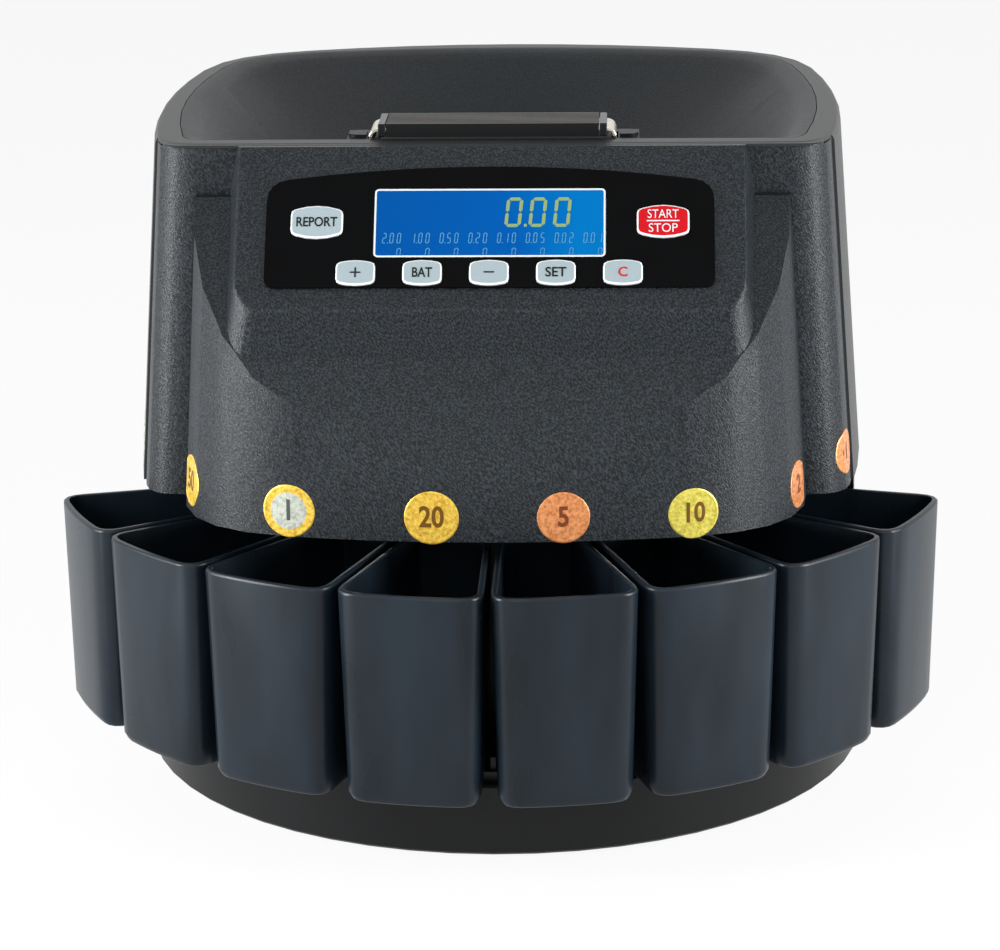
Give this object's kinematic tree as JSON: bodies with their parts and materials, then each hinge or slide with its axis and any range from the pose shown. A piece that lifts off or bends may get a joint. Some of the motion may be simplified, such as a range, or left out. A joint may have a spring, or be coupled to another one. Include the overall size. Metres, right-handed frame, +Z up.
{
  "type": "coin counter",
  "caption": "Tabletop coin sorter: hopper over a turning disc that drops coins by size into a fan of loose cups, with a sloping key console.",
  "frame": {"origin": "on the table under the middle of the whole counter's outline", "axes": "-Y towards the user and the front cups, +X to the user's right, +Z up"},
  "size_m": [0.3498, 0.333, 0.2722],
  "materials": {
    "cup": "gloss blue-black moulding",
    "base": "satin black moulding",
    "plate": "zinc-plated sheet",
    "foot": "matt black rubber",
    "screw": "zinc plated",
    "lower": "fine textured moulding",
    "cover": "fine textured grey moulding",
    "panel": "leather-grained black moulding",
    "funnel": "textured black moulding",
    "overlay": "gloss black film",
    "window": "clear gloss acrylic",
    "display": "blue lit display",
    "key_light": "pale satin keys",
    "key_red": "red satin keys",
    "board": "green circuit board",
    "inlet": "satin black socket",
    "switch": "satin black rocker switch",
    "port": "satin black socket",
    "core": "varnished laminated core",
    "deck": "satin moulding",
    "gauge": "ground steel ring",
    "rail": "polished steel rail",
    "sensor": "dark sensor housing",
    "disc": "hard grey disc",
    "spindle": "ground shaft",
    "bearing": "sintered bronze",
    "gear": "nylon gear",
    "pinion": "cut brass",
    "bracket": "zinc-plated sheet",
    "motor": "plated motor can",
    "grip": "ribbed grey-brown grip",
    "cap": "grey end caps",
    "strap": "bright steel strap"
  },
  "bodies": {
    "housing": {"base_pan": "base", "bottom_plate": "plate", "rubber_foot_1": "foot", "rubber_foot_2": "foot", "rubber_foot_3": "foot", "rubber_foot_4": "foot", "plate_screw_1": "screw", "plate_screw_2": "screw", "plate_screw_3": "screw", "plate_screw_4": "screw", "lower_housing": "lower", "mains_inlet": "inlet", "switch_frame": "switch", "data_port": "port", "power_supply": "core", "sorting_deck": "deck", "gauge_ring": "gauge", "coin_rail": "rail", "sensor_bar": "sensor", "spindle_bearing": "bearing", "motor_bracket": "bracket", "drive_motor": "motor", "front_panel": "panel", "top_cover": "cover", "hopper_funnel": "funnel", "keypad_overlay": "overlay", "display_window": "window", "display_module": "display", "control_board": "board"},
    "disc": {"feed_disc": "disc", "disc_spindle": "spindle", "spindle_gear": "gear"},
    "pinion": {"motor_pinion": "pinion"},
    "rocker": {"power_rocker": "switch"},
    "handle": {"handle_grip": "grip", "handle_end_cap_left": "cap", "handle_end_cap_right": "cap", "handle_strap": "strap"},
    "report_button": {"key_report": "key_light"},
    "start_button": {"key_start": "key_red"},
    "plus_button": {"key_plus": "key_light"},
    "batch_button": {"key_batch": "key_light"},
    "minus_button": {"key_minus": "key_light"},
    "set_button": {"key_set": "key_light"},
    "clear_button": {"key_clear": "key_light"},
    "cup_1": {"coin_cup_1": "cup"},
    "cup_2": {"coin_cup_2": "cup"},
    "cup_3": {"coin_cup_3": "cup"},
    "cup_4": {"coin_cup_4": "cup"},
    "cup_5": {"coin_cup_5": "cup"},
    "cup_6": {"coin_cup_6": "cup"},
    "cup_7": {"coin_cup_7": "cup"},
    "cup_8": {"coin_cup_8": "cup"}
  },
  "joints": [
    {"name": "disc_turn", "type": "hinge", "parent": "housing", "child": "disc", "pos_m": [0, 0.01746, 0.13], "axis": [0, 0, 1], "continuous": true},
    {"name": "pinion_turn", "type": "hinge", "parent": "housing", "child": "pinion", "pos_m": [0, 0.05496, 0.107], "axis": [0, 0, 1], "continuous": true},
    {"name": "rocker_tip", "type": "hinge", "parent": "housing", "child": "rocker", "pos_m": [0.003, 0.15866, 0.0651], "axis": [1, 0, 0], "range_deg": [0, 14]},
    {"name": "handle_lift", "type": "slide", "parent": "housing", "child": "handle", "axis": [0, 0, 1], "range_m": [0, 0.012]},
    {"name": "report_press", "type": "slide", "parent": "housing", "child": "report_button", "axis": [0, 0.7826, -0.6225], "range_m": [0, 0.0006], "stiffness_N_per_m": 800},
    {"name": "start_press", "type": "slide", "parent": "housing", "child": "start_button", "axis": [0, 0.7826, -0.6225], "range_m": [0, 0.0006], "stiffness_N_per_m": 800},
    {"name": "plus_press", "type": "slide", "parent": "housing", "child": "plus_button", "axis": [0, 0.7826, -0.6225], "range_m": [0, 0.0006], "stiffness_N_per_m": 800},
    {"name": "batch_press", "type": "slide", "parent": "housing", "child": "batch_button", "axis": [0, 0.7826, -0.6225], "range_m": [0, 0.0006], "stiffness_N_per_m": 800},
    {"name": "minus_press", "type": "slide", "parent": "housing", "child": "minus_button", "axis": [0, 0.7826, -0.6225], "range_m": [0, 0.0006], "stiffness_N_per_m": 800},
    {"name": "set_press", "type": "slide", "parent": "housing", "child": "set_button", "axis": [0, 0.7826, -0.6225], "range_m": [0, 0.0006], "stiffness_N_per_m": 800},
    {"name": "clear_press", "type": "slide", "parent": "housing", "child": "clear_button", "axis": [0, 0.7826, -0.6225], "range_m": [0, 0.0006], "stiffness_N_per_m": 800},
    {"name": "cup_1_slide", "type": "slide", "parent": "housing", "child": "cup_1", "axis": [-0.9086, -0.4177, 0], "range_m": [0, 0.052]},
    {"name": "cup_2_slide", "type": "slide", "parent": "housing", "child": "cup_2", "axis": [-0.7272, -0.6865, 0], "range_m": [0, 0.052]},
    {"name": "cup_3_slide", "type": "slide", "parent": "housing", "child": "cup_3", "axis": [-0.4693, -0.883, 0], "range_m": [0, 0.052]},
    {"name": "cup_4_slide", "type": "slide", "parent": "housing", "child": "cup_4", "axis": [-0.1621, -0.9868, 0], "range_m": [0, 0.052]},
    {"name": "cup_5_slide", "type": "slide", "parent": "housing", "child": "cup_5", "axis": [0.1621, -0.9868, 0], "range_m": [0, 0.052]},
    {"name": "cup_6_slide", "type": "slide", "parent": "housing", "child": "cup_6", "axis": [0.4693, -0.883, 0], "range_m": [0, 0.052]},
    {"name": "cup_7_slide", "type": "slide", "parent": "housing", "child": "cup_7", "axis": [0.7272, -0.6865, 0], "range_m": [0, 0.052]},
    {"name": "cup_8_slide", "type": "slide", "parent": "housing", "child": "cup_8", "axis": [0.9086, -0.4177, 0], "range_m": [0, 0.052]}
  ],
  "couplings": [
    {"joint": "pinion_turn", "follows": "disc_turn", "ratio": -4}
  ]
}
